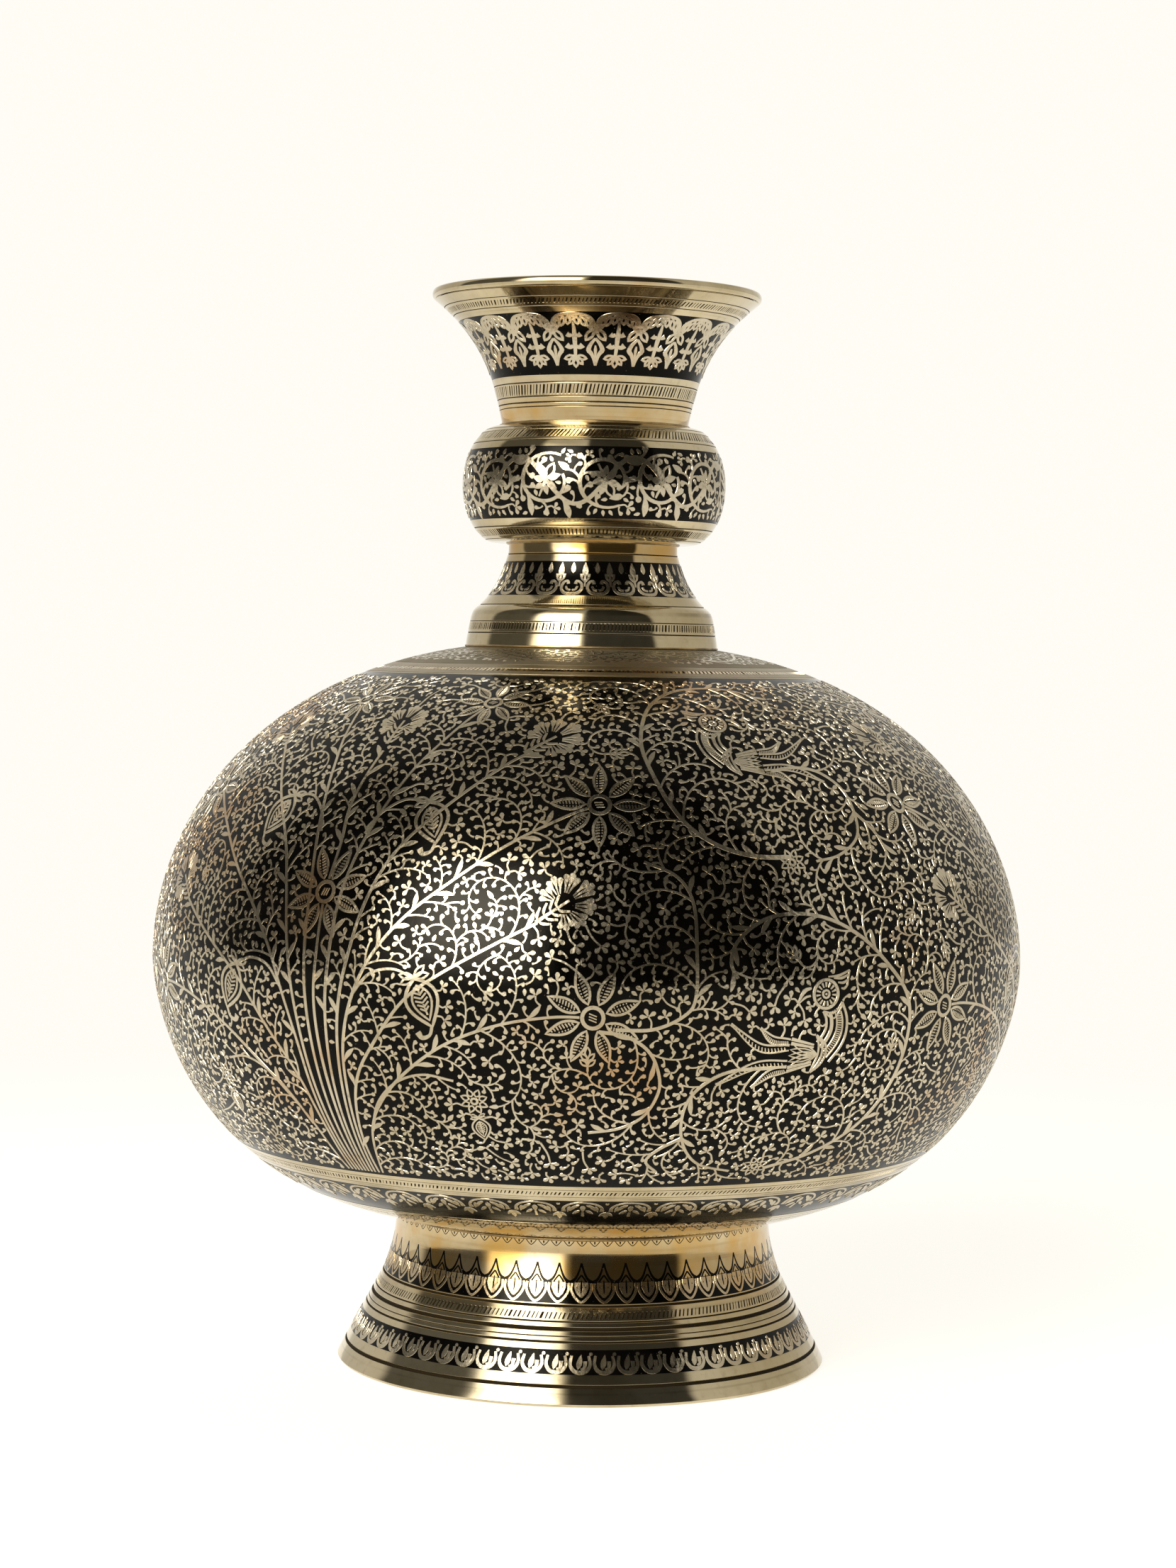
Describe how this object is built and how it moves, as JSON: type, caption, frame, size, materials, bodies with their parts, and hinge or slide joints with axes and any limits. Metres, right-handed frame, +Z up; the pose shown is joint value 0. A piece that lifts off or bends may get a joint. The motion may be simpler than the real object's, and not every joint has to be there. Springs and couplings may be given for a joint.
{
  "type": "engraved brass kalash vase",
  "caption": "Footed brass kalash vase with a globe body, bell-shaped collar, bulbous knop and flared mouth, engraved all over through a black lacquer ground.",
  "frame": {"origin": "centre of the foot's rest face, on the plane that the vase stands on", "axes": "+Z up along the turning axis, from the foot to the mouth; X and Y are interchangeable on the turned form, and the front of the engraving faces -Y"},
  "size_m": [0.247, 0.247, 0.305],
  "materials": {
    "turned_brass": "polished, with heat tint near the soldered joints and dark tarnish in the turned grooves",
    "engraved_brass": "satin, hand engraved, edges of the pattern stand proud of the lacquer",
    "black_lacquer": "glossy black shellac-based lacquer, slightly sunk and worn at the edges",
    "spelter_solder": "dull, slightly golden"
  },
  "bodies": {
    "root": {"foot_pedestal": "turned_brass", "body_lower_bowl": "engraved_brass", "body_upper_dome": "engraved_brass", "neck_collar": "turned_brass", "knop_lower_cup": "turned_brass", "knop_upper_cup": "turned_brass", "mouth_funnel": "turned_brass", "mouth_rim_ring": "turned_brass", "foot_petal_lacquer": "black_lacquer", "foot_leaf_lacquer": "black_lacquer", "lotus_band_lacquer": "black_lacquer", "body_field_lacquer": "black_lacquer", "collar_petal_lacquer": "black_lacquer", "knop_vine_lacquer": "black_lacquer", "mouth_arcade_lacquer": "black_lacquer", "foot_joint_solder": "spelter_solder", "belly_joint_solder": "spelter_solder", "collar_joint_solder": "spelter_solder", "knop_base_solder": "spelter_solder", "knop_waist_solder": "spelter_solder", "knop_top_solder": "spelter_solder"}
  },
  "joints": []
}
